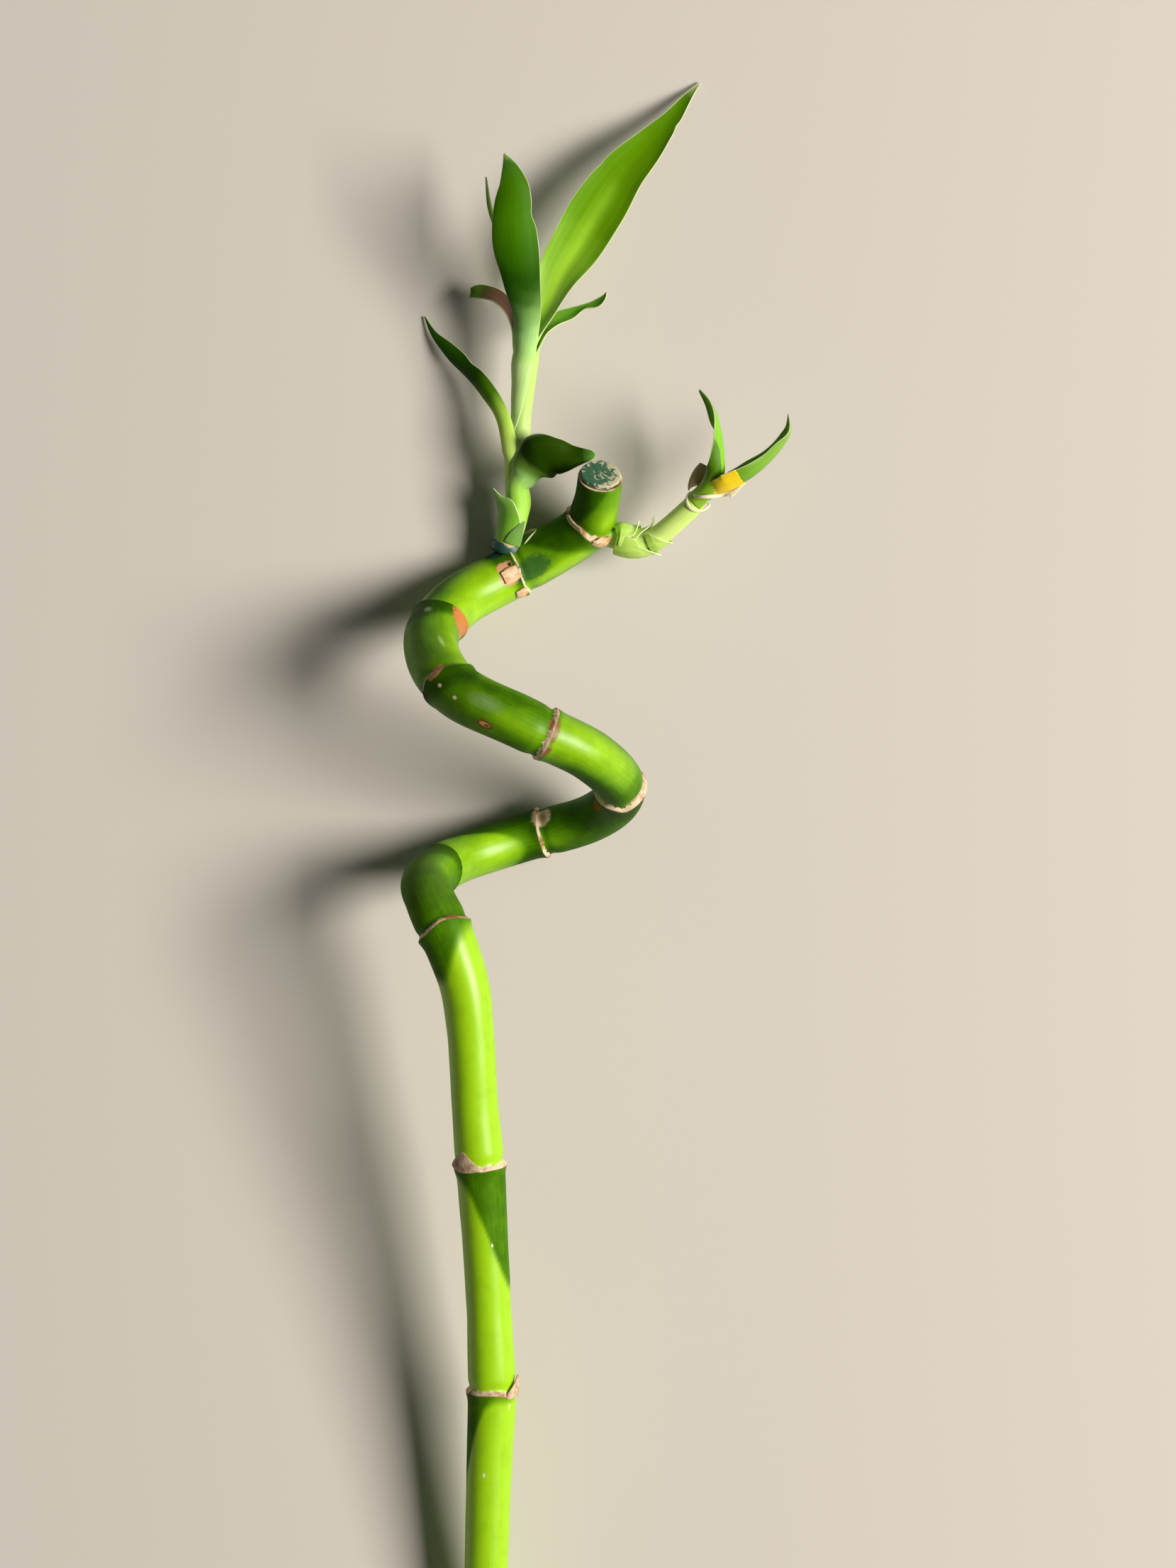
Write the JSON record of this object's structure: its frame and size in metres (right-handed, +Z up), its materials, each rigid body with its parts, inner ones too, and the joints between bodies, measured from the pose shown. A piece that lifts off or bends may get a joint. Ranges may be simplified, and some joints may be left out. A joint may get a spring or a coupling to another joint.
{
  "type": "lucky bamboo cane",
  "caption": "Cut spiral cane of lucky bamboo lying on a surface, with a wax-sealed top, a leafy main shoot and a small side shoot.",
  "frame": {"origin": "bottom centre of the lying plant's box, on the surface that it lies on", "axes": "+Y along the cane from the cut foot to the leaf tips, +Z up from the surface, +X to the side that the small shoot grows on"},
  "size_m": [0.0958, 0.4092, 0.0597],
  "materials": {
    "cane": "smooth waxy green skin with tan leaf scars",
    "wax": "dark green sealing wax",
    "leaf": "satin leaf blade with pale thin margins",
    "sheath": "pale green sheath with fine parallel veins",
    "dry": "dry papery scale",
    "cream": "dry cream sheath edge",
    "yellow": "yellowed torn sheath"
  },
  "bodies": {
    "root": {"cane": "cane", "wax_cap": "wax", "main_stem": "sheath", "side_stem": "sheath", "leaf_a": "leaf", "leaf_b": "leaf", "leaf_c": "leaf", "leaf_d": "leaf", "leaf_e": "leaf", "leaf_f": "leaf", "leaf_g": "leaf", "leaf_h": "leaf", "leaf_i": "leaf", "bract_left": "sheath", "bract_front": "sheath", "bract_dry": "dry", "side_bract_1": "sheath", "side_bract_2": "sheath", "side_bract_3": "sheath", "cream_ring": "cream", "torn_sheath": "yellow", "dry_scale": "dry", "ring_flap_1": "dry", "bud_2": "dry", "ring_flap_10": "dry", "bud_10": "dry", "ring_flap_11": "dry", "bud_11": "dry"}
  },
  "joints": []
}
